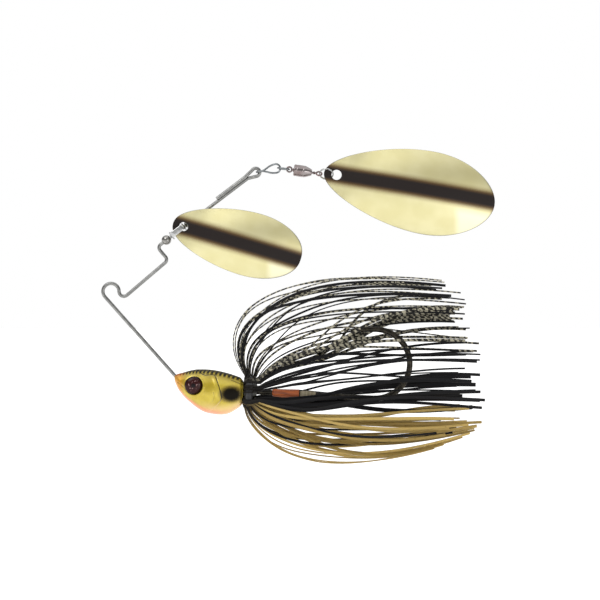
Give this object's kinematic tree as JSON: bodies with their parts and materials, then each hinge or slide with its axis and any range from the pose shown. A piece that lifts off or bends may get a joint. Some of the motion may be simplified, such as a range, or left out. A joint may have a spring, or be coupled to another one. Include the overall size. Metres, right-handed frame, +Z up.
{
  "type": "spinnerbait lure",
  "caption": "Fishing lure with an open wire frame, a painted lead fish head with hook and silicone skirt, and tandem metal spinner blades on a clevis and a ball-bearing swivel.",
  "frame": {"origin": "centre of the open bend that takes the line", "axes": "+X towards the tail of the lure, +Y towards its right flank, +Z up, in the attitude in which it swims"},
  "size_m": [0.1017, 0.0164, 0.081],
  "materials": {
    "wire": "polished",
    "silver": "polished",
    "nickel": "polished",
    "gold": "satin",
    "paint": "gloss",
    "eye": "gloss",
    "hook": "polished",
    "band": "matte",
    "orange": "satin",
    "wrap": "matte",
    "barred": "satin",
    "black": "satin",
    "olive": "satin"
  },
  "bodies": {
    "frame": {"wire_form": "wire", "stop_crimp": "silver", "head": "paint", "eye_left": "eye", "eye_right": "eye", "hook": "hook", "skirt_band": "band", "keeper_sleeve": "orange", "shank_wrap": "wrap", "skirt_upper_left": "barred", "skirt_upper_right": "barred", "skirt_middle_left": "black", "skirt_middle_right": "black", "skirt_lower_left": "olive", "skirt_lower_right": "olive"},
    "lower_bead": {"lower_bead": "silver"},
    "upper_bead": {"upper_bead": "silver"},
    "clevis": {"front_clevis": "silver"},
    "front_blade": {"front_blade": "gold"},
    "snap": {"snap": "wire"},
    "solid_ring": {"solid_ring": "wire"},
    "swivel": {"swivel_barrel": "nickel", "swivel_front_eye": "nickel", "swivel_ball_1": "silver", "swivel_ball_2": "silver", "swivel_ball_3": "silver", "swivel_ball_4": "silver", "swivel_ball_5": "silver", "swivel_ball_6": "silver"},
    "swivel_rotor": {"swivel_rear_eye": "nickel"},
    "split_ring": {"split_ring": "silver"},
    "rear_blade": {"rear_blade": "gold"}
  },
  "joints": [
    {"name": "lower_bead_spin", "type": "hinge", "parent": "frame", "child": "lower_bead", "pos_m": [0.01194, 0, 0.01146], "axis": [0.7965, 0, 0.6046], "continuous": true},
    {"name": "upper_bead_spin", "type": "hinge", "parent": "frame", "child": "upper_bead", "pos_m": [0.01194, 0, 0.01146], "axis": [0.7965, 0, 0.6046], "continuous": true},
    {"name": "clevis_spin", "type": "hinge", "parent": "frame", "child": "clevis", "pos_m": [0.01194, 0, 0.01146], "axis": [0.7965, 0, 0.6046], "continuous": true},
    {"name": "front_blade_swing", "type": "hinge", "parent": "clevis", "child": "front_blade", "pos_m": [0.01887, -0.00213, 0.01672], "axis": [0, 1, 0], "range_deg": [-120, 3]},
    {"name": "snap_swing", "type": "hinge", "parent": "frame", "child": "snap", "pos_m": [0.03763, 0, 0.03083], "axis": [0, 1, 0], "range_deg": [-120, 12]},
    {"name": "ring_swing", "type": "hinge", "parent": "snap", "child": "solid_ring", "pos_m": [0.04372, 0, 0.03201], "axis": [0.1219, 0, 0.9925], "range_deg": [-60, 60]},
    {"name": "swivel_swing", "type": "hinge", "parent": "solid_ring", "child": "swivel", "pos_m": [0.04601, 0, 0.03154], "axis": [0, 1, 0], "range_deg": [-70, 4]},
    {"name": "swivel_spin", "type": "hinge", "parent": "swivel", "child": "swivel_rotor", "pos_m": [0.04601, 0, 0.03154], "axis": [0.9903, 0, -0.1392], "continuous": true},
    {"name": "split_ring_swing", "type": "hinge", "parent": "swivel_rotor", "child": "split_ring", "pos_m": [0.05391, 0, 0.03043], "axis": [0.0247, -0.7071, 0.7067], "range_deg": [-25, 25]},
    {"name": "rear_blade_swing", "type": "hinge", "parent": "split_ring", "child": "rear_blade", "pos_m": [0.0574, 0, 0.03031], "axis": [0.0247, -0.7071, 0.7067], "range_deg": [-30, 30]}
  ]
}
